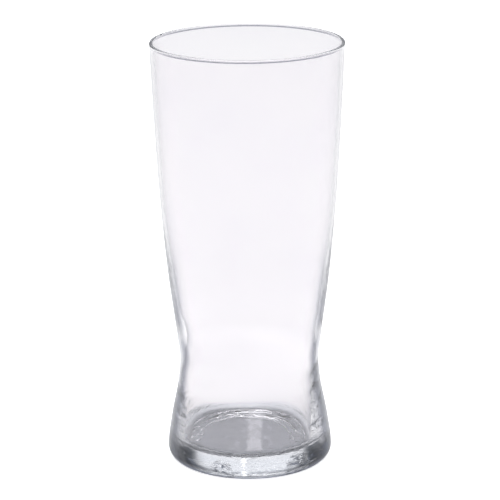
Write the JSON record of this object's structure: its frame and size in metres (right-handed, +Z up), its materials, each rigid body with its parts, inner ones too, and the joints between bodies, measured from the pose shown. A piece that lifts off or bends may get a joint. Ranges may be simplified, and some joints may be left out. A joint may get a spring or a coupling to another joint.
{
  "type": "pint glass",
  "caption": "Tall clear pint glass with a narrow waist above a thick rounded base, flaring to a thin fire-polished rim. Stands on a flat ring foot and holds a drink.",
  "frame": {"origin": "on the glass's axis, in the plane of its foot", "axes": "+Z up the glass's axis, from the foot to the rim; X and Y are free, because the glass is a turned shape"},
  "size_m": [0.0794, 0.0794, 0.1773],
  "materials": {
    "clear_glass": "clear soda-lime glass, blown in a polished mould, with a fire-polished rim"
  },
  "bodies": {
    "root": {"glass_body": "clear_glass"}
  },
  "joints": []
}
